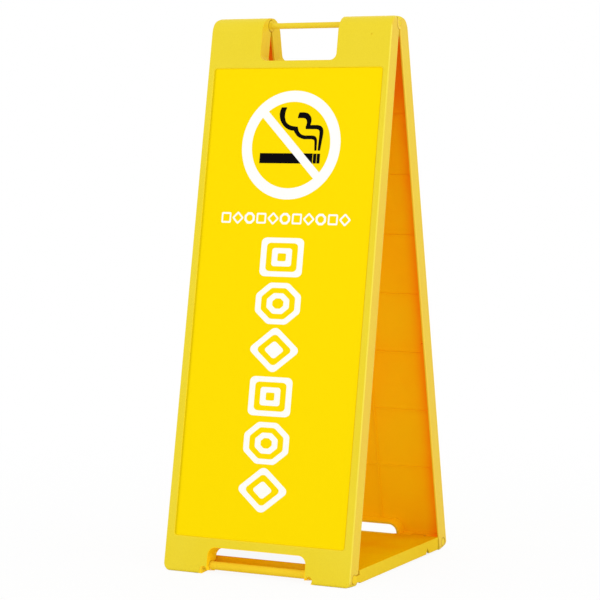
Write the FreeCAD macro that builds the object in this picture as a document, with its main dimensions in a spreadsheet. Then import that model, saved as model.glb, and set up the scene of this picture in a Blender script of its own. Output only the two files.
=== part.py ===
import FreeCAD, Part
import math
import os
import re

import Sketcher

# A folding floor sign of moulded plastic: two upright leaves hinged along their top,
# a base board clipped between the feet, and a message panel in a recess of each leaf.
# Frame: +Z up, X across the sign, -Y towards the front reader, the floor at Z = 0.

DOC = FreeCAD.newDocument("FloorSign")

# Driving dimensions, in millimetres and degrees.
SIZES = {
    # stance of the folded-out sign
    "sign_height": "800",
    "lean": "10.5",
    "spare_swing": "4.4",
    # leaf outline and section
    "foot_width": "300",
    "top_width": "292",
    "outer_face": "26.3",
    "parting": "0.4",
    "hood_rise": "11.5",
    "hood_radius": "25",
    "shoulder_radius": "12",
    "foot_corner": "12",
    "toe_radius": "4",
    "heel_radius": "2",
    "edge_round": "2",
    "wall": "3",
    "skin": "2.5",
    # cut-outs of a leaf
    "grip_width": "123",
    "grip_depth": "64",
    "grip_corner": "10",
    "arch_width": "157",
    "arch_height": "39.5",
    "arch_corner": "12",
    "arch_foot_corner": "6",
    "foot_floor": "22",
    # recess and message panel
    "recess_side": "9.5",
    "recess_top": "75",
    "recess_bottom": "52.5",
    "recess_depth": "2.5",
    "recess_corner": "4",
    "panel_thickness": "1",
    "panel_gap": "0.4",
    # gate mark of the moulding, near the top of the face
    "gate_radius": "1.6",
    "gate_depth": "0.8",
    "gate_across": "115.3",
    "gate_below": "27.4",
    # low ribs and corner blocks inside a leaf
    "rib_width": "1.6",
    "rib_height": "1.2",
    "rib_first": "128",
    "rib_pitch": "90.5",
    "rib_rows": "7",
    "rib_column": "47",
    "block_low": "299",
    "block_tall": "27",
    "block_wide": "9.5",
    "block_high": "10",
    # top hinge
    "rod_radius": "4.4",
    "rod_fit": "0.05",
    "rod_chamfer": "0.8",
    "knuckle_radius": "7.9",
    "knuckle_gap": "0.8",
    "knuckle_split": "104",
    # base board, its bead and the rear feet's rod
    "bead_radius": "6",
    "bead_gap": "0.4",
    "bead_height": "11",
    "bead_inset": "13",
    "board_top": "21.7",
    "board_bottom": "2.7",
    "board_skin": "3",
    "board_wall": "3",
    "front_gap": "2.5",
    "rear_gap": "5.5",
    "neck_low": "6",
    "neck_high": "3.5",
    "mouth_rise": "2.4",
    "hand_width": "216",
    "hand_depth": "73",
    "hand_corner": "8",
    "web_depth": "4",
    "ear_reach": "12.5",
    "ear_gap": "22",
    "rear_cut": "10.5",
    "notch_inset": "38.5",
    "notch_width": "11",
    "notch_height": "9.5",
    "board_rib": "2",
    "board_rib_columns": "3",
    "board_rib_setback": "90",
}

SHEET = DOC.addObject("Spreadsheet::Sheet", "Sizes")
for row, (alias, value) in enumerate(SIZES.items(), start=1):
    SHEET.set("A%d" % row, alias)
    SHEET.set("B%d" % row, value)
    SHEET.setAlias("B%d" % row, alias)
DOC.recompute()


def bound(text):
    """Turn the aliases in a formula into references to the sheet."""
    for alias in SIZES:
        text = re.sub(r"\b%s\b" % alias, "Sizes." + alias, text)
    return text


def number(text):
    """The present value of a formula on the sheet."""
    value = SHEET.evalExpression(bound(text))
    return float(getattr(value, "Value", value))


# Places that several pieces share, in a leaf's own frame: origin on the hinge axis,
# X across, -Y out to the message side, Z up the leaf.
AXIS_HEIGHT = "(sign_height - hood_rise)"
TOE_LEVEL = "((-outer_face * sin(lean) - %s) / cos(lean))" % AXIS_HEIGHT
HEEL_LEVEL = "((-parting * sin(lean) - %s) / cos(lean))" % AXIS_HEIGHT
CROWN_LEVEL = "((hood_rise - outer_face * sin(lean)) / cos(lean))"
HOOD_CUT = "(parting + hood_rise * tan(lean + spare_swing / 2))"
HOOD_LEVEL = "((hood_rise - %s * sin(lean)) / cos(lean))" % HOOD_CUT
LEAF_LENGTH = "(%s - %s)" % (CROWN_LEVEL, TOE_LEVEL)
TAPER = "((foot_width - top_width) / 2 / %s)" % LEAF_LENGTH
BEAD_DEPTH = "(parting + bead_inset)"
BEAD_LEVEL = "((bead_height - %s - %s * sin(lean)) / cos(lean))" % (AXIS_HEIGHT, BEAD_DEPTH)
SKIN_FACE = "(outer_face - recess_depth - skin)"
WIDEST = "max(foot_width; top_width)"
RECESS_HALF = "(min(foot_width; top_width) / 2 - recess_side)"


def half_width(level):
    """Half the leaf's width at a level of its own Z."""
    return "(foot_width / 2 - %s * (%s - %s))" % (TAPER, level, TOE_LEVEL)


def plane_of(body, role):
    """One of a body's own origin planes."""
    for feature in body.Origin.OriginFeatures:
        if feature.Role == role:
            return feature
    raise ValueError(role)


def new_sketch(body, name, role, lift=None):
    """A sketch on an origin plane of its body, moved along the plane's normal by lift."""
    sketch = body.newObject("Sketcher::SketchObject", name)
    sketch.AttachmentSupport = [(plane_of(body, role), "")]
    sketch.MapMode = "FlatFace"
    if lift is not None:
        sketch.setExpression("AttachmentOffset.Base.z", bound(lift))
    return sketch


def place(sketch, index, corner, x_text, y_text):
    """Hold one point of a sketch at two formulas."""
    for kind, text in (("DistanceX", x_text), ("DistanceY", y_text)):
        number_of = sketch.addConstraint(Sketcher.Constraint(kind, -1, 1, index, corner, number(text)))
        sketch.setExpression("Constraints[%d]" % number_of, bound(text))


def outline(sketch, corners):
    """A closed outline through (x, y) or, where the corner is rounded, (x, y, radius) formulas."""
    points = [FreeCAD.Vector(number(c[0]), number(c[1]), 0) for c in corners]
    count = len(corners)
    starts, ends, arcs = [], [], {}
    for i, corner in enumerate(corners):
        before = (points[i - 1] - points[i]).normalize()
        after = (points[(i + 1) % count] - points[i]).normalize()
        reach = 0.0
        if len(corner) > 2:
            radius = number(corner[2])
            half = before.getAngle(after) / 2
            reach = radius / math.tan(half)
            middle = points[i] + (before + after).normalize() * (radius / math.sin(half))
            arcs[i] = (middle, radius)
        ends.append(points[i] + before * reach)
        starts.append(points[i] + after * reach)
    lines = []
    for i in range(count):
        segment = Part.LineSegment(starts[i], ends[(i + 1) % count])
        lines.append(sketch.addGeometry(segment, False))
    for i, corner in enumerate(corners):
        into, out_of = lines[i - 1], lines[i]
        if i not in arcs:
            sketch.addConstraint(Sketcher.Constraint("Coincident", into, 2, out_of, 1))
            place(sketch, out_of, 1, corner[0], corner[1])
            continue
        middle, radius = arcs[i]
        apex = middle + (points[i] - middle).normalize() * radius
        arc = sketch.addGeometry(Part.Arc(ends[i], apex, starts[i]), False)
        vertex = sketch.addGeometry(Part.Point(points[i]), True)
        place(sketch, vertex, 1, corner[0], corner[1])
        curve = sketch.Geometry[arc]
        first, last = 1, 2
        if (curve.StartPoint - ends[i]).Length > (curve.EndPoint - ends[i]).Length:
            first, last = 2, 1
        sketch.addConstraint(Sketcher.Constraint("Tangent", into, 2, arc, first))
        sketch.addConstraint(Sketcher.Constraint("Tangent", out_of, 1, arc, last))
        sketch.addConstraint(Sketcher.Constraint("PointOnObject", vertex, 1, into))
        sketch.addConstraint(Sketcher.Constraint("PointOnObject", vertex, 1, out_of))
        held = sketch.addConstraint(Sketcher.Constraint("Radius", arc, radius))
        sketch.setExpression("Constraints[%d]" % held, bound(corner[2]))


def rectangle(sketch, left, right, low, high, radius=None):
    """A rectangle between four formulas, with its corners rounded where a radius is given."""
    corners = [(left, low), (right, low), (right, high), (left, high)]
    if radius:
        corners = [corner + (radius,) for corner in corners]
    outline(sketch, corners)


def circle(sketch, x_text, y_text, radius):
    """A circle at two formulas."""
    centre = FreeCAD.Vector(number(x_text), number(y_text), 0)
    ring = sketch.addGeometry(Part.Circle(centre, FreeCAD.Vector(0, 0, 1), number(radius)), False)
    place(sketch, ring, 3, x_text, y_text)
    held = sketch.addConstraint(Sketcher.Constraint("Radius", ring, number(radius)))
    sketch.setExpression("Constraints[%d]" % held, bound(radius))


def pad(body, sketch, name, length, both_ways=False):
    """Fill a sketch along its normal."""
    feature = body.newObject("PartDesign::Pad", name)
    feature.Profile = sketch
    feature.Midplane = both_ways
    feature.setExpression("Length", bound(length))
    return feature


def pocket(body, sketch, name, length=None, reverse=False):
    """Cut a sketch against its normal: a set depth, or right through both ways."""
    feature = body.newObject("PartDesign::Pocket", name)
    feature.Profile = sketch
    feature.Reversed = reverse
    if length is None:
        feature.Type = "ThroughAll"
        feature.Midplane = True
    else:
        feature.setExpression("Length", bound(length))
    return feature


def leaf_blank(body):
    """The side section of a leaf run across its width: hood, outer face, toe and inner rim plane."""
    sketch = new_sketch(body, "SideSection", "YZ_Plane")
    outline(sketch, [
        ("-outer_face", TOE_LEVEL, "toe_radius"),
        ("-parting", HEEL_LEVEL, "heel_radius"),
        ("-parting", "0"),
        ("-" + HOOD_CUT, HOOD_LEVEL),
        ("-outer_face", CROWN_LEVEL, "hood_radius"),
    ])
    pad(body, sketch, "Blank", WIDEST, both_ways=True)


def leaf_front_outline(body):
    """The tapered front outline with rounded shoulders and foot corners."""
    margin = "knuckle_radius * 2"
    low = "(%s - %s)" % (TOE_LEVEL, margin)
    high = "(%s + %s)" % (CROWN_LEVEL, margin)
    beyond = "(%s / 2 + %s)" % (WIDEST, margin)
    waste = new_sketch(body, "FrontOutline", "XZ_Plane")
    rectangle(waste, "-" + beyond, beyond, low, high)
    crown_high = "(hood_rise / cos(lean))"
    outline(waste, [
        ("-foot_width / 2", TOE_LEVEL, "foot_corner"),
        ("foot_width / 2", TOE_LEVEL, "foot_corner"),
        (half_width(crown_high), crown_high, "shoulder_radius"),
        ("-" + half_width(crown_high), crown_high, "shoulder_radius"),
    ])
    pocket(body, waste, "Trim")


def leaf_edge_round(body):
    """The round run along both outer side edges of the face, over the shoulders and the feet."""
    DOC.recompute()
    trim = body.Tip
    face_side = -number("outer_face")
    edges = []
    for index, edge in enumerate(trim.Shape.Edges, start=1):
        box = edge.BoundBox
        on_face = abs(box.YMin - face_side) < 0.01 and abs(box.YMax - face_side) < 0.01
        if on_face and box.ZLength > number(LEAF_LENGTH) / 2 and box.XMin * box.XMax > 0:
            if min(abs(box.XMin), abs(box.XMax)) > number(RECESS_HALF):
                edges.append("Edge%d" % index)
    feature = body.newObject("PartDesign::Fillet", "EdgeRound")
    feature.Base = (trim, edges)
    feature.setExpression("Radius", bound("edge_round"))


def leaf_cut_outs(body):
    """The grip opening, open upwards, and the arch between the two feet."""
    high = "(%s + knuckle_radius * 2)" % CROWN_LEVEL
    low = "(%s - knuckle_radius * 2)" % TOE_LEVEL
    cuts = new_sketch(body, "CutOuts", "XZ_Plane")
    grip_floor = "(%s - grip_depth)" % CROWN_LEVEL
    outline(cuts, [
        ("-grip_width / 2", grip_floor, "grip_corner"),
        ("grip_width / 2", grip_floor, "grip_corner"),
        ("grip_width / 2", high),
        ("-grip_width / 2", high),
    ])
    arch_top = "(%s + arch_height)" % TOE_LEVEL
    flare = "(arch_width / 2 + 2 * arch_foot_corner)"
    outline(cuts, [
        ("-" + flare, low),
        (flare, low),
        (flare, TOE_LEVEL),
        ("arch_width / 2", TOE_LEVEL, "arch_foot_corner"),
        ("arch_width / 2", arch_top, "arch_corner"),
        ("-arch_width / 2", arch_top, "arch_corner"),
        ("-arch_width / 2", TOE_LEVEL, "arch_foot_corner"),
        ("-" + flare, TOE_LEVEL),
    ])
    pocket(body, cuts, "GripAndArch")


def leaf_hollow(body):
    """The hollow back of a leaf, with a wall left standing round each cut-out."""
    top = "(%s - hood_radius + wall)" % CROWN_LEVEL
    foot = "(%s + foot_floor)" % TOE_LEVEL
    right_foot = "(%s - wall)" % half_width(foot)
    right_top = "(%s - wall)" % half_width(top)
    sketch = new_sketch(body, "Hollow", "XZ_Plane", lift="parting")
    outline(sketch, [
        (right_foot, foot, "heel_radius"),
        (right_top, top, "2 * wall"),
        ("-" + right_top, top, "2 * wall"),
        ("-" + right_foot, foot, "heel_radius"),
    ])
    depth = "%s - parting" % SKIN_FACE
    pocket(body, sketch, "HollowBack", depth, reverse=True)
    islands = new_sketch(body, "CutOutWalls", "XZ_Plane", lift="parting")
    grip_wall = "(grip_width / 2 + wall)"
    grip_floor = "(%s - grip_depth - wall)" % CROWN_LEVEL
    outline(islands, [
        ("-" + grip_wall, grip_floor, "grip_corner + wall"),
        (grip_wall, grip_floor, "grip_corner + wall"),
        (grip_wall, top + " + wall / 2"),
        ("-" + grip_wall, top + " + wall / 2"),
    ])
    arch_wall = "(arch_width / 2 + wall)"
    arch_top = "(%s + arch_height + wall)" % TOE_LEVEL
    outline(islands, [
        ("-" + arch_wall, foot + " - wall / 2"),
        (arch_wall, foot + " - wall / 2"),
        (arch_wall, arch_top, "arch_corner + wall"),
        ("-" + arch_wall, arch_top, "arch_corner + wall"),
    ])
    pad(body, islands, "CutOutWallPad", depth)


def leaf_recess(body):
    """The shallow recess that seats the message panel."""
    sketch = new_sketch(body, "Recess", "XZ_Plane", lift="outer_face")
    low = TOE_LEVEL + " + recess_bottom"
    high = CROWN_LEVEL + " - recess_top"
    rectangle(sketch, "-" + RECESS_HALF, RECESS_HALF, low, high, "recess_corner")
    pocket(body, sketch, "PanelRecess", "recess_depth")


def leaf_gate(body):
    """The small sunk mark where the moulding was filled."""
    sketch = new_sketch(body, "GateRound", "XZ_Plane", lift="outer_face")
    circle(sketch, "gate_across", CROWN_LEVEL + " - gate_below", "gate_radius")
    pocket(body, sketch, "Gate", "gate_depth")


def leaf_ribs(body):
    """Low ribs inside the skin: rows across at an even pitch, and one column each side."""
    rows = new_sketch(body, "RibRows", "XZ_Plane", lift=SKIN_FACE)
    for row in range(int(number("rib_rows"))):
        level = "(%s + rib_first + %d * rib_pitch)" % (TOE_LEVEL, row)
        end = "(%s - wall / 2)" % half_width(level)
        rectangle(rows, "-" + end, end, level + " - rib_width / 2", level + " + rib_width / 2")
    ribs = pad(body, rows, "RowRibs", "rib_height")
    ribs.Reversed = True
    columns = new_sketch(body, "RibColumns", "XZ_Plane", lift=SKIN_FACE)
    low = "(%s + arch_height + wall / 2)" % TOE_LEVEL
    high = "(%s - grip_depth - wall / 2)" % CROWN_LEVEL
    for side in ("-", ""):
        inner = side + "(rib_column - rib_width / 2)"
        outer = side + "(rib_column + rib_width / 2)"
        rectangle(columns, inner, outer, low, high)
    ribs = pad(body, columns, "ColumnRibs", "rib_height")
    ribs.Reversed = True


def leaf_blocks(body):
    """A corner block beside each side rim."""
    sketch = new_sketch(body, "Blocks", "XZ_Plane", lift=SKIN_FACE)
    low = "(%s + block_low)" % TOE_LEVEL
    high = "(%s + block_tall)" % low
    for side in ("-", ""):
        outer = side + "(%s - wall / 2)" % half_width(low)
        inner = side + "(%s - wall - block_wide)" % half_width(low)
        rectangle(sketch, inner, outer, low, high)
    blocks = pad(body, sketch, "CornerBlocks", "block_high")
    blocks.Reversed = True


def leaf_knuckles(body):
    """Knuckles on the hinge axis, seats for the other leaf's knuckles, and the bore for the rod."""
    end = "(%s)" % half_width("0")
    inner = "(grip_width / 2)"
    for name, start, length in (
            ("InnerKnuckle", inner, "knuckle_split - knuckle_gap / 2 - %s" % inner),
            ("OuterKnuckle", "-" + end, "%s - knuckle_split - knuckle_gap / 2" % end)):
        sketch = new_sketch(body, name + "Round", "YZ_Plane", lift=start)
        circle(sketch, "0", "0", "knuckle_radius")
        pad(body, sketch, name, length)
    beyond = "(%s / 2)" % WIDEST
    for name, start, length in (
            ("OuterSeat", "knuckle_split - knuckle_gap / 2", beyond + " - knuckle_split + knuckle_gap / 2"),
            ("InnerSeat", "-(knuckle_split + knuckle_gap / 2)", "knuckle_split + knuckle_gap / 2")):
        sketch = new_sketch(body, name + "Round", "YZ_Plane", lift=start)
        circle(sketch, "0", "0", "knuckle_radius + knuckle_gap")
        pocket(body, sketch, name, length, reverse=True)
    bore = new_sketch(body, "BoreRound", "YZ_Plane")
    circle(bore, "0", "0", "rod_radius + rod_fit")
    pocket(body, bore, "Bore")


def foot_socket(body):
    """The front feet's sockets, open inwards, that the base board's bead clips into."""
    sketch = new_sketch(body, "SocketRound", "YZ_Plane")
    circle(sketch, "-" + BEAD_DEPTH, BEAD_LEVEL, "bead_radius + bead_gap")
    pocket(body, sketch, "Socket")
    mouth = new_sketch(body, "MouthShape", "YZ_Plane")
    low = "(%s - (neck_low + bead_gap) / cos(lean))" % BEAD_LEVEL
    high = "(%s + (neck_high + bead_gap) / cos(lean))" % BEAD_LEVEL
    level_rise = "(parting + %s) * tan(lean)" % BEAD_DEPTH
    outline(mouth, [
        ("-" + BEAD_DEPTH, low),
        ("parting", low + " + " + level_rise),
        ("parting", high + " + " + level_rise + " + mouth_rise"),
        ("-" + BEAD_DEPTH, high),
    ])
    pocket(body, mouth, "Mouth")


def foot_bore(body):
    """The rear feet's bores for the rod that ties them together."""
    sketch = new_sketch(body, "FootRodRound", "YZ_Plane")
    circle(sketch, "-" + BEAD_DEPTH, BEAD_LEVEL, "bead_radius + rod_fit")
    pocket(body, sketch, "FootRodBore")


def new_body(label):
    """An empty body whose name and label are the piece's name."""
    body = DOC.addObject("PartDesign::Body", label)
    body.Label = label
    return body


def stand(piece, turned):
    """Stand a piece of a leaf's own frame in the sign: the front leaf, or turned, the rear one."""
    lean = FreeCAD.Rotation(FreeCAD.Vector(1, 0, 0), -number("lean"))
    turn = FreeCAD.Rotation(FreeCAD.Vector(0, 0, 1), 180 if turned else 0)
    piece.Placement = FreeCAD.Placement(FreeCAD.Vector(0, 0, number(AXIS_HEIGHT)), turn.multiply(lean))


def make_leaf(label, turned):
    """One moulded leaf."""
    body = new_body(label)
    leaf_blank(body)
    leaf_hollow(body)
    leaf_recess(body)
    leaf_ribs(body)
    leaf_blocks(body)
    leaf_knuckles(body)
    leaf_front_outline(body)
    leaf_edge_round(body)
    leaf_cut_outs(body)
    leaf_gate(body)
    if turned:
        foot_bore(body)
    else:
        foot_socket(body)
    stand(body, turned)
    return body


def make_panel(label, turned):
    """The printed sheet that lies in a leaf's recess."""
    body = new_body(label)
    sketch = new_sketch(body, "PanelOutline", "XZ_Plane", lift="outer_face - recess_depth")
    half = "(%s - panel_gap)" % RECESS_HALF
    low = TOE_LEVEL + " + recess_bottom + panel_gap"
    high = CROWN_LEVEL + " - recess_top - panel_gap"
    rectangle(sketch, "-" + half, half, low, high, "recess_corner - panel_gap")
    pad(body, sketch, "Panel", "panel_thickness")
    stand(body, turned)
    return body


# The bead's place in the standing sign, and the inner rim planes of the two leaves there.
BEAD_BACK = "(-%s * cos(lean) + %s * sin(lean))" % (BEAD_DEPTH, BEAD_LEVEL)
RIM_AT_BOARD = "((%s - board_top) * tan(lean) + parting / cos(lean))" % AXIS_HEIGHT


def make_board():
    """The base board: a tray-like plate, a bead along its front and an ear into each rear foot."""
    body = new_body("base_board")
    front = "(-1 * %s - %s + front_gap)" % (BEAD_BACK, RIM_AT_BOARD)
    rear = "(%s - %s - rear_gap)" % (RIM_AT_BOARD, BEAD_BACK)
    top = "(board_top - bead_height)"
    low = "(board_bottom - bead_height)"
    under = "(%s - board_skin)" % top
    inner = "(foot_width / 2 - board_wall)"
    section = new_sketch(body, "BoardSection", "YZ_Plane")
    outline(section, [
        ("0", "-neck_low"),
        (front, "-neck_low"),
        (front + " + board_wall", low),
        (rear, low),
        (rear, top),
        (front, top),
        (front, "neck_high"),
        ("0", "neck_high"),
    ])
    pad(body, section, "Plate", "foot_width", both_ways=True)
    bead = new_sketch(body, "BeadRound", "YZ_Plane")
    circle(bead, "0", "0", "bead_radius")
    pad(body, bead, "Bead", "foot_width", both_ways=True)
    ears = new_sketch(body, "Ears", "XY_Plane", lift=under)
    for side in ("-", ""):
        near = side + "(arch_width / 2 + wall + ear_gap)"
        far = side + "(%s - ear_gap)" % inner
        rectangle(ears, near, far, rear + " - board_wall", rear + " + ear_reach")
    pad(body, ears, "EarPad", "board_skin")
    bay = "(%s - rear_cut)" % rear
    tray = new_sketch(body, "TrayOutline", "XY_Plane", lift=under)
    rectangle(tray, "-" + inner, inner, front + " + web_depth", bay + " - board_wall")
    for side in ("-", ""):
        near = side + "(arch_width / 2 + board_wall)"
        rectangle(tray, near, side + inner, bay, rear + " - board_wall")
    pocket(body, tray, "Tray", "board_top")
    openings = new_sketch(body, "Openings", "XY_Plane")
    rectangle(openings, "-hand_width / 2", "hand_width / 2", front + " + web_depth",
              front + " + web_depth + hand_depth", "hand_corner")
    rectangle(openings, "-arch_width / 2", "arch_width / 2", "bead_radius", front)
    outline(openings, [
        ("-arch_width / 2", bay, "hand_corner"),
        ("arch_width / 2", bay, "hand_corner"),
        ("arch_width / 2", rear + " + ear_reach"),
        ("-arch_width / 2", rear + " + ear_reach"),
    ])
    pocket(body, openings, "OpeningCuts")
    notches = new_sketch(body, "Notches", "YZ_Plane")
    middle = "(%s - notch_inset)" % rear
    outline(notches, [
        (middle + " - notch_width / 2", low),
        (middle + " + notch_width / 2", low),
        (middle, low + " + notch_height"),
    ])
    pocket(body, notches, "NotchCut")
    ribs = new_sketch(body, "UnderRibs", "XY_Plane", lift=low + " + board_wall")
    columns = int(number("board_rib_columns"))
    start = "(%s + web_depth + hand_depth + board_rib_setback)" % front
    for column in range(columns):
        across = "(%s * (2 * %d / %d - 1))" % (inner, column + 1, columns + 1)
        rectangle(ribs, across + " - board_rib / 2", across + " + board_rib / 2",
                  start, bay + " - board_wall / 2")
    pad(body, ribs, "UnderRibPad", "%s + board_skin / 2 - (%s + board_wall)" % (under, low))
    body.Placement = FreeCAD.Placement(
        FreeCAD.Vector(0, number(BEAD_BACK), number("bead_height")), FreeCAD.Rotation())
    return body


def make_rod(label, radius, half_length, side, height):
    """A round rod with chamfered ends lying across the sign."""
    body = new_body(label)
    sketch = new_sketch(body, "RodRound", "YZ_Plane")
    circle(sketch, "0", "0", radius)
    rod = pad(body, sketch, "Rod", "2 * " + half_length, both_ways=True)
    DOC.recompute()
    ends = ["Edge%d" % (i + 1) for i, edge in enumerate(rod.Shape.Edges) if edge.BoundBox.XLength < 0.01]
    feature = body.newObject("PartDesign::Chamfer", "RodEnds")
    feature.Base = (rod, ends)
    feature.setExpression("Size", bound("rod_chamfer"))
    place_at = FreeCAD.Vector(0, number(side), number(height))
    body.Placement = FreeCAD.Placement(place_at, FreeCAD.Rotation())
    return body


PIECES = [
    make_leaf("front_leaf", False),
    make_leaf("rear_leaf", True),
    make_panel("front_message_panel", False),
    make_panel("rear_message_panel", True),
    make_board(),
    make_rod("handle_rod", "rod_radius", half_width("0"), "0", AXIS_HEIGHT),
    make_rod("foot_rod", "bead_radius", "(%s)" % half_width(BEAD_LEVEL), "-1 * " + BEAD_BACK, "bead_height"),
]
DOC.recompute()

for thing in DOC.Objects:
    if "Invalid" in thing.State or "Error" in thing.State:
        raise RuntimeError("%s failed: %s" % (thing.Name, thing.State))
os.makedirs("parts", exist_ok=True)
for piece in PIECES:
    shape = piece.Shape
    if shape.isNull() or not shape.isValid() or len(shape.Solids) != 1:
        raise RuntimeError("%s has no sound shape" % piece.Label)
    shape.exportStep("parts/%s.step" % piece.Label)
    print("%-22s %9.1f cm3  %s" % (piece.Label, shape.Volume / 1000, shape.BoundBox))
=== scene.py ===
import math

import bpy
from mathutils import Matrix, Vector


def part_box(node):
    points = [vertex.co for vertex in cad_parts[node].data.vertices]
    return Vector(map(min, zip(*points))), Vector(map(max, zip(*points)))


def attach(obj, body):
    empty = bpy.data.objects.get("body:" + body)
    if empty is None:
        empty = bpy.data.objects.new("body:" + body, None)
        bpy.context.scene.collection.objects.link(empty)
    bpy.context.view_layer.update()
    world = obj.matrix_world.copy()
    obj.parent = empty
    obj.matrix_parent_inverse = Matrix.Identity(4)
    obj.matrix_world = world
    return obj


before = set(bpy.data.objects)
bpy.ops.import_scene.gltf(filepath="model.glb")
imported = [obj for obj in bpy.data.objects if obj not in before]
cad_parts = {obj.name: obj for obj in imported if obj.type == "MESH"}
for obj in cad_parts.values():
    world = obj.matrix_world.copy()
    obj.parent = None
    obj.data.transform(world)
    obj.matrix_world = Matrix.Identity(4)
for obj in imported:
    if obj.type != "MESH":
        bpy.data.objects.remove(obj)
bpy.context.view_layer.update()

# The camera stands a little above the sign's middle and to the right of its front, and looks
# very slightly down, with a long lens that keeps the two leaves' edges nearly parallel.
CAMERA_AIM = Vector((-0.0046, -0.0197, 0.3873))
CAMERA_AZIMUTH = math.radians(26.81)
CAMERA_ELEVATION = math.radians(4.608)
CAMERA_DISTANCE = 3.2736
LENS_MM = 133.74
SENSOR_MM = 36
FAR_CLIP = 30


def direction(azimuth, elevation):
    """The unit vector from the sign out to a place round it; azimuth 0 is straight in front."""
    flat = math.cos(elevation)
    return Vector((math.sin(azimuth) * flat, -math.cos(azimuth) * flat, math.sin(elevation)))


camera_data = bpy.data.cameras.new("camera")
camera_data.lens = LENS_MM
camera_data.sensor_width = SENSOR_MM
camera_data.clip_end = FAR_CLIP
camera = bpy.data.objects.new("camera", camera_data)
camera.location = CAMERA_AIM + direction(CAMERA_AZIMUTH, CAMERA_ELEVATION) * CAMERA_DISTANCE
camera.rotation_euler = (CAMERA_AIM - camera.location).to_track_quat("-Z", "Y").to_euler()
bpy.context.scene.collection.objects.link(camera)
bpy.context.scene.camera = camera
bpy.context.scene.view_settings.view_transform = "Standard"

# Every finish is a node material. Its maths is written on sockets as plain expressions, and
# every other node comes from one method.
NOISE_ROUGHNESS = 0.5
DULL_SPECULAR = 0.1


class Value:
    """A socket of a finish, with the operators that its maths uses."""

    def __init__(self, finish, socket):
        self.finish = finish
        self.socket = socket

    def maths(self, operation, *terms):
        """Add a Math node on up to two terms."""
        return self.finish.node("ShaderNodeMath", {"operation": operation}, dict(enumerate(terms)))

    def __add__(self, other):
        return self.maths("ADD", self, other)

    def __radd__(self, other):
        return self.maths("ADD", other, self)

    def __sub__(self, other):
        return self.maths("SUBTRACT", self, other)

    def __rsub__(self, other):
        return self.maths("SUBTRACT", other, self)

    def __mul__(self, other):
        return self.maths("MULTIPLY", self, other)

    def __rmul__(self, other):
        return self.maths("MULTIPLY", other, self)

    def __abs__(self):
        return self.maths("ABSOLUTE", self)

    def most(self, other):
        """The larger of two numbers."""
        return self.maths("MAXIMUM", self, other)

    def root(self):
        """The square root."""
        return self.maths("SQRT", self)

    def rise(self, start, end):
        """0 below start, 1 above end, and a smooth step between them."""
        limits = {"Value": self, "From Min": start, "From Max": end}
        return self.finish.node("ShaderNodeMapRange", {"interpolation_type": "SMOOTHSTEP"}, limits)

    def fall(self, start, end):
        """1 below start, 0 above end, and a smooth step between them."""
        return 1 - self.rise(start, end)


class Finish:
    """A material made in code around one Principled BSDF."""

    def __init__(self, name, roughness, specular=DULL_SPECULAR):
        self.material = bpy.data.materials.new(name)
        self.material.use_nodes = True
        self.tree = self.material.node_tree
        self.shader = self.tree.nodes["Principled BSDF"]
        self.shader.inputs["Roughness"].default_value = roughness
        self.shader.inputs["Specular IOR Level"].default_value = specular

    def feed(self, socket, value):
        """Give an input socket a link or a plain value."""
        if isinstance(value, Value):
            self.tree.links.new(value.socket, socket)
        elif hasattr(socket.default_value, "__len__") and len(socket.default_value) == 4:
            socket.default_value = (*value[:3], 1)
        else:
            socket.default_value = value

    def node(self, kind, settings, inputs, output=0):
        """Add a node with its settings and inputs, and return one of its outputs."""
        made = self.tree.nodes.new(kind)
        for name, setting in settings.items():
            setattr(made, name, setting)
        for name, value in inputs.items():
            self.feed(made.inputs[name], value)
        return Value(self, made.outputs[output])

    def place(self):
        """The point on the piece in the sign's own frame, as a vector."""
        return self.node("ShaderNodeTexCoord", {}, {}, "Object")

    def parts_of(self, vector):
        """The three numbers of a vector."""
        split = self.node("ShaderNodeSeparateXYZ", {}, {0: vector})
        outputs = split.socket.node.outputs
        return [Value(self, outputs[i]) for i in range(3)]

    def noise(self, size, detail, stretch=None):
        """Soft random values about 0.5, whose lumps are about size metres across."""
        at = self.place()
        if stretch:
            at = self.node("ShaderNodeVectorMath", {"operation": "MULTIPLY"}, {0: at, 1: stretch})
        inputs = {"Vector": at, "Scale": 1 / size, "Detail": detail, "Roughness": NOISE_ROUGHNESS}
        return self.node("ShaderNodeTexNoise", {}, inputs)

    def mix(self, factor, first, second):
        """One colour over another."""
        inputs = {0: factor, 6: first, 7: second}
        return self.node("ShaderNodeMix", {"data_type": "RGBA"}, inputs, 2)

    def bump(self, height, strength, distance, normal=None):
        """A normal that follows a height in metres."""
        inputs = {"Height": height, "Strength": strength, "Distance": distance}
        if normal:
            inputs["Normal"] = normal
        return self.node("ShaderNodeBump", {}, inputs)

    def set(self, **values):
        """Feed the shader's own sockets; an underscore stands for a space."""
        for name, value in values.items():
            self.feed(self.shader.inputs[name.replace("_", " ")], value)


def screen(red, green, blue):
    """A colour as it is seen on a screen, 0 to 255 a channel, as linear light."""
    levels = [channel / 255 for channel in (red, green, blue)]
    return [v / 12.92 if v <= 0.04045 else ((v + 0.055) / 1.055) ** 2.4 for v in levels]


def cover(obj, finish):
    """Give a piece one finish all over."""
    obj.data.materials.clear()
    obj.data.materials.append(finish.material)


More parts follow.
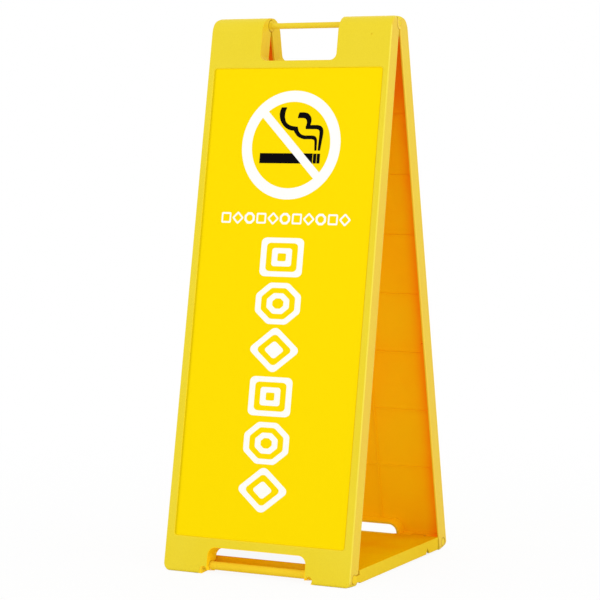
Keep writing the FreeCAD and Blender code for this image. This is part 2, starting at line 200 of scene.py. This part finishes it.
# The two leaves are one injection moulding each, of polyolefin dyed through in yellow. The
# outer side has a fine spark grain. Light and shade are painted on: the hollow inner side is
# painted orange, with a faint glow, for light that has passed through and bounced in the yellow
# walls, and deeper orange for the shade in its corners and crown; the sides are painted a
# deeper yellow for their shade, the edges carry painted highlights, the seams painted shade,
# and the grip and arch walls, recess and heel painted light.
AXIS_HEIGHT = (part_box("handle_rod")[0].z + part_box("handle_rod")[1].z) / 2
LEAN = math.radians(10.5)
FOOT_HALF = 0.150
TOP_HALF = 0.146
FOOT_LEVEL = -0.8068
CROWN_LEVEL = 0.0068
TAPER = (TOP_HALF - FOOT_HALF) / (CROWN_LEVEL - FOOT_LEVEL)
SKIN_DEPTH = 0.0213
FACE_DEPTH = 0.0263
WALL_MIDDLE = 0.0015
HOLLOW_LOW = FOOT_LEVEL + 0.022
HOLLOW_TOP = CROWN_LEVEL - 0.022
HOLLOW_TOP_BLUR = 0.002
GRIP_HALF = 0.0615
GRIP_FLOOR = CROWN_LEVEL - 0.064
GRIP_CORNER = 0.010
ARCH_HALF = 0.0785
ARCH_TOP = FOOT_LEVEL + 0.0395
ARCH_CORNER = 0.012
RECESS_HALF = 0.1368
RECESS_LOW = ARCH_TOP + 0.003
RECESS_TOP = GRIP_FLOOR - 0.003
RECESS_BLUR = 0.001
HEEL_OUT = 0.092
HEEL_TOP = -0.795
EDGE_ROUND = 0.002
EDGE_START = EDGE_ROUND * 0.6
INNER_EDGE_END = EDGE_ROUND * 1.4
BLUR = 0.0004

FACE_YELLOW = screen(240, 216, 44)
# Painted shade: the side faces are a deeper yellow than the front face.
SIDE_SHADE_YELLOW = screen(240, 204, 62)
# Painted highlights on the rounded outer edges and on the rims' inner edges.
EDGE_HIGHLIGHT = screen(250, 234, 84)
EDGE_HIGHLIGHT_SHARE = 0.8
RIM_HIGHLIGHT = screen(255, 222, 84)
RIM_HIGHLIGHT_SHARE = 0.7
# Painted light and shade in the hollow: orange bounce light, deeper orange shade.
INNER_BOUNCE_ORANGE = screen(255, 196, 0)
INNER_SHADE_ORANGE = screen(255, 146, 0)
CORNER_SHADE = (0.003, 0.033)
CROWN_SHADE = (-0.165, -0.085)
# Painted orange bounce light on the grip walls.
GRIP_WALL_BOUNCE_SHARE = 0.3
# Painted bounce light and glow on the arch walls.
ARCH_BOUNCE_LIGHT = screen(252, 206, 6)
# Painted light and glow in the recess round the panel, lifting its shade.
RECESS_PAINTED_LIGHT = screen(255, 228, 24)
# Painted light, as a glow, in the heel's socket.
HEEL_PAINTED_LIGHT = screen(244, 208, 52)
# The painted glow, as emission, and its strengths.
NO_GLOW = (0, 0, 0)
GLOW_STRENGTH = 0.45
INNER_GLOW = 0.155
ARCH_GLOW = 0.27
RECESS_GLOW = 0.15
HEEL_GLOW = 0.7

# Painted shade in the seam gaps round the knuckles and the foot rod.
SEAM_SHADE = screen(176, 118, 8)
KNUCKLE_RADIUS = 0.0079
KNUCKLE_GAP = 0.0008
KNUCKLE_SPLIT = 0.104
KNUCKLE_SEAM = 0.9
ROD_LOW, ROD_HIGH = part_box("foot_rod")
ROD_OUT = (ROD_LOW.y + ROD_HIGH.y) / 2
ROD_DOWN = (ROD_LOW.z + ROD_HIGH.z) / 2 - AXIS_HEIGHT
ROD_DEPTH = ROD_OUT * math.cos(LEAN) + ROD_DOWN * math.sin(LEAN)
ROD_LEVEL = ROD_DOWN * math.cos(LEAN) - ROD_OUT * math.sin(LEAN)
ROD_RADIUS = 0.006
ROD_GAP = 0.0004
ROD_SEAM = 0.6

FACE_PALE = screen(243, 222, 62)
INNER_PALE = screen(246, 220, 4)
CLOUD_SIZE = 0.11
CLOUD_LIMITS = (0.35, 0.7)
CLOUD_SHARE = 0.35
FLECK_SHADE = screen(190, 150, 20)
FLECK_SIZE = 0.0016
FLECK_LIMITS = (0.3, 0.7)
FLECK_SHARE = 0.06
SHEEN = 0.40
SHEEN_FLECK = 0.10
SHEEN_CLOUD = 0.06
WAVE_SIZE = 0.06
WAVE_STRENGTH = 0.25
WAVE_HEIGHT = 0.0012
GRAIN_SIZE = 0.0011
GRAIN_STRENGTH = 0.5
GRAIN_HEIGHT = 0.00012


def moulded_surface(finish, colour, grain_strength=GRAIN_STRENGTH, pale=FACE_PALE):
    """Cloudy colour, fine grain and the slightly uneven sheen of a moulding."""
    cloud = finish.noise(CLOUD_SIZE, 3).rise(*CLOUD_LIMITS)
    fleck = finish.noise(FLECK_SIZE, 1).rise(*FLECK_LIMITS)
    dyed = finish.mix(cloud * CLOUD_SHARE, colour, pale)
    dyed = finish.mix(fleck * FLECK_SHARE, dyed, FLECK_SHADE)
    sheen = SHEEN + SHEEN_FLECK * fleck + SHEEN_CLOUD * cloud
    normal = finish.bump(finish.noise(WAVE_SIZE, 2), WAVE_STRENGTH, WAVE_HEIGHT)
    normal = finish.bump(finish.noise(GRAIN_SIZE, 2), grain_strength, GRAIN_HEIGHT, normal)
    finish.set(Base_Color=dyed, Roughness=sheen, Normal=normal)


def leaf_place(finish, side):
    """Across, depth behind the hinge plane and level up the leaf, for side -1 front or 1 rear."""
    x, y, z = finish.parts_of(finish.place())
    height = z - AXIS_HEIGHT
    depth = y * (side * math.cos(LEAN)) + height * math.sin(LEAN)
    level = height * math.cos(LEAN) - y * (side * math.sin(LEAN))
    return x, depth, level


def leaf_finish(name, side):
    """Yellow outside with painted shade on the sides, painted highlights on the edges and painted
    shade in the seams, and painted orange light, shade and glow in the hollow.
    """
    finish = Finish(name, roughness=0.45)
    x, depth, level = leaf_place(finish, side)
    wall = FOOT_HALF + TAPER * (level - FOOT_LEVEL) - abs(x)

    hollow = depth.rise(BLUR, 3 * BLUR) * depth.fall(SKIN_DEPTH + BLUR, SKIN_DEPTH + 2 * BLUR)
    hollow = hollow * wall.rise(WALL_MIDDLE, WALL_MIDDLE + BLUR)
    hollow = hollow * level.rise(HOLLOW_LOW - 2 * BLUR, HOLLOW_LOW - BLUR)
    hollow = hollow * level.fall(HOLLOW_TOP, HOLLOW_TOP + HOLLOW_TOP_BLUR)
    cut_walls = []
    for cut_half, beyond, corner in (
            (GRIP_HALF, GRIP_FLOOR + GRIP_CORNER - level, GRIP_CORNER),
            (ARCH_HALF, level - (ARCH_TOP - ARCH_CORNER), ARCH_CORNER)):
        beside = (abs(x) - (cut_half - corner)).most(0)
        beyond = beyond.most(0)
        reach = (beside * beside + beyond * beyond).root()
        hollow = hollow * reach.rise(corner + WALL_MIDDLE, corner + WALL_MIDDLE + BLUR)
        cut_walls.append(abs(reach - corner).fall(BLUR, 2 * BLUR))
    grip_wall, arch_wall = cut_walls
    # Painted shade in the hollow's corners by the rims and under the crown, over its painted
    # orange bounce light.
    shade = wall.fall(*CORNER_SHADE).most(level.rise(*CROWN_SHADE))
    painted_inner = finish.mix(shade, INNER_BOUNCE_ORANGE, INNER_SHADE_ORANGE)

    # Painted highlights on the rounded outer edges and the rims' inner edges.
    on_side = wall.fall(EDGE_START, EDGE_ROUND)
    edge_highlight = on_side * depth.rise(FACE_DEPTH - EDGE_ROUND, FACE_DEPTH - EDGE_START)
    rim_highlight = on_side * depth.fall(EDGE_START, INNER_EDGE_END)
    recess = depth.rise(SKIN_DEPTH + 2 * BLUR, SKIN_DEPTH + 3 * BLUR)
    recess = recess * depth.fall(FACE_DEPTH - 2 * BLUR, FACE_DEPTH - BLUR)
    recess = recess * abs(x).fall(RECESS_HALF, RECESS_HALF + BLUR)
    recess = recess * level.rise(RECESS_LOW, RECESS_LOW + RECESS_BLUR)
    recess = recess * level.fall(RECESS_TOP - RECESS_BLUR, RECESS_TOP)
    heel = level.fall(HEEL_TOP - BLUR, HEEL_TOP) * abs(x).fall(HEEL_OUT - BLUR, HEEL_OUT)
    heel = heel * depth.fall(FACE_DEPTH - 3 * BLUR, FACE_DEPTH - 2 * BLUR)

    # The side faces take a painted shade.
    outside = finish.mix(on_side, FACE_YELLOW, SIDE_SHADE_YELLOW)
    outside = finish.mix(edge_highlight * EDGE_HIGHLIGHT_SHARE, outside, EDGE_HIGHLIGHT)
    outside = finish.mix(rim_highlight * RIM_HIGHLIGHT_SHARE, outside, RIM_HIGHLIGHT)
    colour = finish.mix(hollow, outside, painted_inner)
    # Painted orange bounce light on the grip walls.
    colour = finish.mix(grip_wall * GRIP_WALL_BOUNCE_SHARE, colour, INNER_BOUNCE_ORANGE)
    # Painted bounce light on the arch walls.
    colour = finish.mix(arch_wall, colour, ARCH_BOUNCE_LIGHT)
    # Painted light in the recess, lifting its shade.
    colour = finish.mix(recess, colour, RECESS_PAINTED_LIGHT)

    own_x = x * -side
    past_split = own_x.fall(KNUCKLE_SPLIT - BLUR, KNUCKLE_SPLIT)
    in_seat = 1 - own_x.rise(0, KNUCKLE_SPLIT - BLUR) * past_split
    in_seat = in_seat * own_x.rise(-KNUCKLE_SPLIT, BLUR - KNUCKLE_SPLIT)
    # Painted shade in the seam gaps.
    for radius, gap, out, up, strength in (
            (KNUCKLE_RADIUS, KNUCKLE_GAP, depth, level, in_seat * KNUCKLE_SEAM),
            (ROD_RADIUS, ROD_GAP, depth - ROD_DEPTH, level - ROD_LEVEL, ROD_SEAM)):
        from_axis = (out * out + up * up).root()
        rim = radius + gap
        seam = from_axis.rise(radius - BLUR, radius) * from_axis.fall(rim + BLUR, rim + 4 * BLUR)
        colour = finish.mix(seam * strength, colour, SEAM_SHADE)
    moulded_surface(finish, colour, pale=finish.mix(hollow, FACE_PALE, INNER_PALE))

    # A painted glow in the hollow, on the arch walls, in the recess and in the heel.
    glow = finish.mix(hollow * INNER_GLOW, NO_GLOW, painted_inner)
    glow = finish.mix(arch_wall * ARCH_GLOW, glow, ARCH_BOUNCE_LIGHT)
    glow = finish.mix(recess * RECESS_GLOW, glow, RECESS_PAINTED_LIGHT)
    # Painted light, as a glow, in the heel's socket.
    glow = finish.mix(heel * HEEL_GLOW, glow, HEEL_PAINTED_LIGHT)
    finish.set(Emission_Color=glow, Emission_Strength=GLOW_STRENGTH)
    return finish


for body, side in (("front", -1), ("rear", 1)):
    cover(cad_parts[body + "_leaf"], leaf_finish(body + "_leaf_plastic", side))

# The base board is a ribbed tray of the same plastic, with a round bead along its front that
# clips into the front feet. Its top lies inside the sign and is painted orange for the bounce
# light there; the web behind the bead is painted a deeper orange for its shade, and the bead
# has a faint painted glow.
BOARD_LOW, BOARD_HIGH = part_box("base_board")
BOARD_TOP = (BOARD_HIGH.z - 0.0006, BOARD_HIGH.z - 0.0002)
BOARD_LENGTH = (-0.10, 0.12)
BEAD_REAR = (BOARD_LOW.y + 0.013, BOARD_LOW.y + 0.016)
WEB_REAR = (BOARD_LOW.y + 0.040, BOARD_LOW.y + 0.045)
RIM_INSIDE = (BOARD_HIGH.x - 0.008, BOARD_HIGH.x - 0.006)
# Painted orange bounce light on the board's top.
TOP_FRONT_BOUNCE_ORANGE = screen(240, 176, 0)
TOP_REAR_BOUNCE_ORANGE = screen(238, 174, 0)
BOARD_RIM_YELLOW = screen(240, 203, 44)
# Painted shade, in deeper orange, on the web behind the bead.
WEB_SHADE_ORANGE = screen(255, 190, 0)
# A faint painted glow on the bead.
BEAD_GLOW = 0.08

board_finish = Finish("base_board_plastic", roughness=0.6, specular=0.0)
across, along, height = board_finish.parts_of(board_finish.place())
on_top = height.rise(*BOARD_TOP)
# Painted orange bounce light on the top.
top_colour = board_finish.mix(along.rise(*BOARD_LENGTH), TOP_FRONT_BOUNCE_ORANGE, TOP_REAR_BOUNCE_ORANGE)
past_bead = along.rise(*BEAD_REAR)
# Painted shade on the web behind the bead.
web = past_bead * along.fall(*WEB_REAR) * abs(across).fall(*RIM_INSIDE)
side_colour = board_finish.mix(web, BOARD_RIM_YELLOW, WEB_SHADE_ORANGE)
moulded_surface(board_finish, board_finish.mix(on_top, side_colour, top_colour),
                pale=board_finish.mix(on_top, FACE_PALE, INNER_PALE))
# A faint painted glow on the bead, lifting its shaded underside.
bead_glow = board_finish.mix(1 - past_bead, NO_GLOW, BOARD_RIM_YELLOW)
board_finish.set(Emission_Color=bead_glow, Emission_Strength=BEAD_GLOW)
cover(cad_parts["base_board"], board_finish)

# The handle rod runs through the knuckles and across the grip opening, and the foot rod ties
# the rear feet. Both are extruded in the same yellow and are a little smoother.
ROD_YELLOW = screen(241, 212, 50)
ROD_GRAIN = 0.15

rod_finish = Finish("rod_plastic", roughness=0.35)
moulded_surface(rod_finish, ROD_YELLOW, grain_strength=ROD_GRAIN)
for rod in ("handle_rod", "foot_rod"):
    cover(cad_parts[rod], rod_finish)

# The message panels are printed sheets that lie in the recess of each leaf, under a clear
# satin film. The ground is a strong plain yellow, with a painted shadow of the recess along
# its reader's left edge.
PANEL_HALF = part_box("front_message_panel")[1].x
PANEL_YELLOW = screen(255, 223, 0)
STREAK_YELLOW = screen(250, 214, 0)
STREAK_SIZE = 0.004
STREAK_STRETCH = (1, 1, 0.05)
STREAK_LIMITS = (0.3, 0.7)
STREAK_SHARE = 0.03
FILM_STRENGTH = 0.06
FILM_HEIGHT = 0.0002
FILM_SHEEN = 0.42
FILM_STREAK = 0.06
# A painted shadow of the recess along the reader's left edge.
PANEL_SHADE = screen(214, 188, 0)
PANEL_SHADE_SHARE = 0.7
PANEL_SHADE_WIDTH = 0.005
LEFT_HALF = (0, 0.0001)

panel_finish = Finish("panel_print", roughness=0.5, specular=0.02)
streak = panel_finish.noise(STREAK_SIZE, 2, STREAK_STRETCH)
ground = panel_finish.mix(streak.rise(*STREAK_LIMITS) * STREAK_SHARE, PANEL_YELLOW, STREAK_YELLOW)
across, behind, _ = panel_finish.parts_of(panel_finish.place())
# A painted shadow of the recess along the reader's left edge.
shaded = abs(across).rise(PANEL_HALF - PANEL_SHADE_WIDTH, PANEL_HALF)
shaded = shaded * (across * behind).rise(*LEFT_HALF)
ground = panel_finish.mix(shaded * PANEL_SHADE_SHARE, ground, PANEL_SHADE)
film = panel_finish.bump(streak, FILM_STRENGTH, FILM_HEIGHT)
panel_finish.set(Base_Color=ground, Roughness=FILM_SHEEN + FILM_STREAK * streak, Normal=film)
for body in ("front", "rear"):
    cover(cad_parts[body + "_message_panel"], panel_finish)

# The print on each panel is laid down as thin inked shapes: a ring and slash over a lit
# cigarette, a row of small marks and a column of large ones. Its measures are millimetres
# right of the panel's middle and up from the leaf's foot.
PRINT_DEPTH = 0.0248
LAYER = 0.00006
INK_WHITE = screen(255, 255, 252)
INK_BLACK = screen(6, 4, 6)
INK_SPREAD = 0.45
INK_SPECULAR = 0.03
LAY_SIZE = 0.002
LAY_LIMITS = (0.35, 0.65)
LAY_SHARE = 0.04
LAY_DARKER = 0.8
LAY_STRENGTH = 0.05
LAY_HEIGHT = 0.0001


def ink(name, colour, roughness):
    """A printed colour with a faintly uneven lay-down."""
    finish = Finish(name, roughness=roughness, specular=INK_SPECULAR)
    lay = finish.noise(LAY_SIZE, 2)
    darker = [level * LAY_DARKER for level in colour]
    shade = finish.mix(lay.rise(*LAY_LIMITS) * LAY_SHARE, colour, darker)
    finish.set(Base_Color=shade, Normal=finish.bump(lay, LAY_STRENGTH, LAY_HEIGHT))
    return finish


white_ink = ink("white_ink", INK_WHITE, roughness=0.45)
black_ink = ink("black_ink", INK_BLACK, roughness=0.4)


def panel_matrix(side):
    """From the print's own plane, x right and y up as its reader sees it, to the sign."""
    right = Vector((-side, 0, 0))
    up = Vector((0, -side * math.sin(LEAN), math.cos(LEAN)))
    out = Vector((0, side * math.cos(LEAN), math.sin(LEAN)))
    foot = Vector((0, 0, AXIS_HEIGHT)) + out * PRINT_DEPTH + up * FOOT_LEVEL
    return Matrix.Translation(foot) @ Matrix((right, up, out)).transposed().to_4x4()


def printed(name, loops, finish, layers, side):
    """A flat inked shape: closed loops in millimetres, where a loop inside another is a hole."""
    curve = bpy.data.curves.new(name, "CURVE")
    curve.dimensions = "2D"
    curve.fill_mode = "BOTH"
    curve.extrude = LAYER * layers
    for loop in loops:
        spline = curve.splines.new("POLY")
        spline.points.add(len(loop) - 1)
        for point, (x, y) in zip(spline.points, loop):
            point.co = (x / 1000, y / 1000, 0, 1)
        spline.use_cyclic_u = True
    drawn = bpy.data.objects.new(name + "_drawing", curve)
    mesh = bpy.data.meshes.new_from_object(drawn)
    bpy.data.objects.remove(drawn)
    mesh.name = name
    mesh.transform(panel_matrix(side))
    piece = bpy.data.objects.new(name, mesh)
    bpy.context.scene.collection.objects.link(piece)
    cover(piece, finish)
    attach(piece, "front" if side < 0 else "rear")


RING_CENTRE = (-0.5, 625.6)
RING_OUTER = 79.6
RING_INNER = 63.3
CIRCLE_STEPS = 96
SLASH_WIDTH = 12.5
SLASH_ENDS = ((-49.1, 674.1), (48.8, 576.8))
SMOKE_STEPS = 4
SMOKE_LEFT = (
    ((-20.0, 680.4), (-22.2, 671.4), (-19.9, 661.4), (-12.9, 652.6), (-4.1, 647.8), (3.0, 646.9)),
    ((4.4, 644.0), (10.3, 637.9), (19.6, 634.5)),
    ((32.2, 634.5), (35.6, 633.7), (37.3, 631.9), (37.8, 628.9)),
    ((38.6, 617.8), (41.2, 617.9)),
    ((41.0, 628.2), (40.7, 633.0), (38.9, 636.9), (35.8, 638.7), (32.4, 639.1)),
    ((20.6, 639.1), (14.5, 641.1), (10.2, 645.6), (8.3, 651.9)),
    ((2.8, 652.4), (-4.9, 654.2), (-11.2, 658.9), (-14.1, 667.0), (-13.4, 675.4), (-11.4, 680.4)),
)
SMOKE_RIGHT = (
    ((7.6, 665.3), (9.5, 672.9)),
    ((17.5, 672.9), (22.9, 671.6), (27.0, 668.1), (29.1, 664.0), (29.3, 659.6), (28.1, 654.4)),
    ((40.0, 654.4), (45.3, 653.1), (48.5, 650.1), (49.8, 646.0), (49.8, 641.3)),
    ((47.1, 617.9), (43.9, 617.9)),
    ((44.7, 640.6), (44.5, 644.9), (43.0, 647.8), (39.6, 649.1)),
    ((22.0, 649.3), (21.6, 652.0), (22.8, 656.0), (22.8, 660.3), (20.6, 664.0), (16.7, 665.3)),
)
CIGARETTE = (-49.5, 599, 36.0, 613)
EMBERS = ((37.4, 599, 41.8, 613), (43.4, 599, 47.6, 613))


def arc(centre, radius, start, end, steps):
    """Points along an arc, in degrees."""
    points = []
    for i in range(steps + 1):
        turn = math.radians(start + (end - start) * i / steps)
        points.append((centre[0] + radius * math.cos(turn), centre[1] + radius * math.sin(turn)))
    return points


def circle(centre, radius):
    """A closed round loop."""
    return arc(centre, radius, 0, 360 - 360 / CIRCLE_STEPS, CIRCLE_STEPS - 1)


def box_loop(left, low, right, high):
    """A rectangle's corners."""
    return [(left, low), (right, low), (right, high), (left, high)]


def band(ends, width):
    """A straight band's corners between two points."""
    (x0, y0), (x1, y1) = ends
    length = math.hypot(x1 - x0, y1 - y0)
    nx, ny = -(y1 - y0) / length * width / 2, (x1 - x0) / length * width / 2
    return [(x0 + nx, y0 + ny), (x0 - nx, y0 - ny), (x1 - nx, y1 - ny), (x1 + nx, y1 + ny)]


def outline(runs):
    """One closed loop through smooth runs of points, with a corner where each run ends."""
    loop = []
    for run in runs:
        last = len(run) - 1
        for i in range(last):
            around = (run[max(i - 1, 0)], run[i], run[i + 1], run[min(i + 2, last)])
            for k in range(SMOKE_STEPS):
                t = k / SMOKE_STEPS
                blend = (
                    (-t + 2 * t**2 - t**3) / 2, (2 - 5 * t**2 + 3 * t**3) / 2,
                    (t + 4 * t**2 - 3 * t**3) / 2, (t**3 - t**2) / 2,
                )
                loop.append([sum(b * p[axis] for b, p in zip(blend, around)) for axis in range(2)])
        loop.append(run[last])
    return loop


def spread(loop):
    """A loop of black ink that has run out a little all round."""
    corners = list(zip(loop[-1:] + loop[:-1], loop, loop[1:] + loop[:1]))
    area = sum(here[0] * after[1] - here[1] * after[0] for _, here, after in corners)
    out = math.copysign(INK_SPREAD, area)
    grown = []
    for before, (x, y), after in corners:
        dx, dy = after[0] - before[0], after[1] - before[1]
        length = math.hypot(dx, dy)
        grown.append((x + out * dy / length, y - out * dx / length))
    return grown


SMALL_MARKS = 11
SMALL_SHARE = 0.26
SMALL_PITCH = 19.2
SMALL_LEVEL = 518
SMALL_STROKE = 3.6
SMALL_CORNERS = (2, 1)
LARGE_TOP = 462
LARGE_PITCH = 67
LARGE_STROKE = 8
LARGE_CORNERS = (8, 6, 4, 2)
LARGE_STRETCH = (1.14, 0.94)
CORNER_STEPS = 6
SQUARE = (4, 45.0, 42.5)
DIAMOND = (4, 0.0, 37.0)
OCTAGON = (8, 22.5, 34.5)


def rounded(centre, sides, reach, radius, turn, stretch=(1, 1)):
    """A regular polygon with rounded corners."""
    points = []
    inset = radius / math.cos(math.pi / sides)
    for i in range(sides):
        heading = turn + 360 * i / sides
        at = math.radians(heading)
        corner = ((reach - inset) * math.cos(at), (reach - inset) * math.sin(at))
        points += arc(corner, radius, heading - 180 / sides, heading + 180 / sides, CORNER_STEPS)
    return [(centre[0] + x * stretch[0], centre[1] + y * stretch[1]) for x, y in points]


def small_mark(centre, sides, turn, reach):
    """One small outline."""
    reaches = (reach * SMALL_SHARE, reach * SMALL_SHARE - SMALL_STROKE)
    return [rounded(centre, sides, at, corner, turn) for at, corner in zip(reaches, SMALL_CORNERS)]


def large_mark(centre, sides, turn, reach):
    """Bands of straight sides, one inside the other, as far in as there is room."""
    step = LARGE_STROKE / math.cos(math.pi / sides)
    loops = []
    for i, corner in enumerate(LARGE_CORNERS):
        if reach - i * step > step / 2:
            loops.append(rounded(centre, sides, reach - i * step, corner, turn, LARGE_STRETCH))
    return loops


ring = [circle(RING_CENTRE, RING_OUTER), circle(RING_CENTRE, RING_INNER)]
slash = [band(SLASH_ENDS, SLASH_WIDTH)]
cigarette = [spread(box_loop(*part)) for part in (CIGARETTE, *EMBERS)]
smoke = [spread(outline(runs)) for runs in (SMOKE_LEFT, SMOKE_RIGHT)]
small_marks = []
for i in range(SMALL_MARKS):
    centre = ((i - (SMALL_MARKS - 1) / 2) * SMALL_PITCH, SMALL_LEVEL)
    small_marks += small_mark(centre, *(SQUARE, DIAMOND, OCTAGON)[i % 3])
large_marks = []
for i, mark in enumerate((SQUARE, OCTAGON, DIAMOND) * 2):
    large_marks += large_mark((0, LARGE_TOP - i * LARGE_PITCH), *mark)
for body, side in (("front", -1), ("rear", 1)):
    printed(body + "_ring", ring, white_ink, 1, side)
    printed(body + "_slash", slash, white_ink, 2, side)
    printed(body + "_cigarette", cigarette, black_ink, 1, side)
    printed(body + "_smoke", smoke, black_ink, 1, side)
    printed(body + "_small_marks", small_marks, white_ink, 1, side)
    printed(body + "_large_marks", large_marks, white_ink, 1, side)

# The sign stands on a plain pale floor that shows near white and keeps a soft shadow, most of
# it under the rear of the base board.
WHITE = (1, 1, 1)
FLOOR_HALF = 20
FLOOR_GREY = (0.9, 0.9, 0.89)
FLOOR_SHOWN = 0.93
FLOOR_FAR = (0.25, 1.5)
UNDER_SIDE = (0.12, 0.15)
UNDER_FRONT = (0.03, 0.09)
UNDER_REAR = (0.15, 0.17)

floor_mesh = bpy.data.meshes.new("floor")
floor_corners = [(x, y, 0) for x, y in box_loop(-FLOOR_HALF, -FLOOR_HALF, FLOOR_HALF, FLOOR_HALF)]
floor_mesh.from_pydata(floor_corners, [], [(0, 1, 2, 3)])
floor = bpy.data.objects.new("floor", floor_mesh)
bpy.context.scene.collection.objects.link(floor)
floor_finish = Finish("floor", roughness=0.9)
floor_finish.set(Base_Color=FLOOR_GREY)
x, y, _ = floor_finish.parts_of(floor_finish.place())
far = (x * x + y * y).root().rise(*FLOOR_FAR)
under = abs(x).fall(*UNDER_SIDE) * y.rise(*UNDER_FRONT) * y.fall(*UNDER_REAR)
seen = floor_finish.node("ShaderNodeLightPath", {}, {}, "Is Camera Ray")
shown = seen * (FLOOR_SHOWN + (1 - FLOOR_SHOWN) * far) * (1 - under)
white = floor_finish.node("ShaderNodeEmission", {}, {"Color": WHITE, "Strength": 1.0})
lit = Value(floor_finish, floor_finish.shader.outputs[0])
both = floor_finish.node("ShaderNodeMixShader", {}, {0: shown, 1: lit, 2: white})
surface = floor_finish.tree.nodes["Material Output"].inputs["Surface"]
floor_finish.feed(surface, both)
cover(floor, floor_finish)

# The studio has three square soft boxes that face the sign's middle, one in front, one to the
# right and one behind, and an even surround that is white where the camera sees it.
LAMP_DISTANCE = 3.0
LAMP_SIZE = 2.0
LAMPS = (("key", -10, 35, 12), ("right_fill", 80, 20, 14), ("back_fill", 200, 30, 8))
SURROUND = 0.85

for name, azimuth, elevation, watts in LAMPS:
    lamp = bpy.data.lights.new(name, "AREA")
    lamp.size = LAMP_SIZE
    lamp.energy = watts
    box = bpy.data.objects.new(name, lamp)
    towards = direction(math.radians(azimuth), math.radians(elevation))
    box.location = CAMERA_AIM + towards * LAMP_DISTANCE
    box.rotation_euler = (CAMERA_AIM - box.location).to_track_quat("-Z", "Y").to_euler()
    bpy.context.scene.collection.objects.link(box)

world = bpy.data.worlds.new("surround")
bpy.context.scene.world = world
world.use_nodes = True
background = world.node_tree.nodes["Background"]
background.inputs["Color"].default_value = (*WHITE, 1)
path = world.node_tree.nodes.new("ShaderNodeLightPath")
level = world.node_tree.nodes.new("ShaderNodeMapRange")
level.inputs["To Min"].default_value = SURROUND
world.node_tree.links.new(path.outputs["Is Camera Ray"], level.inputs["Value"])
world.node_tree.links.new(level.outputs[0], background.inputs["Strength"])
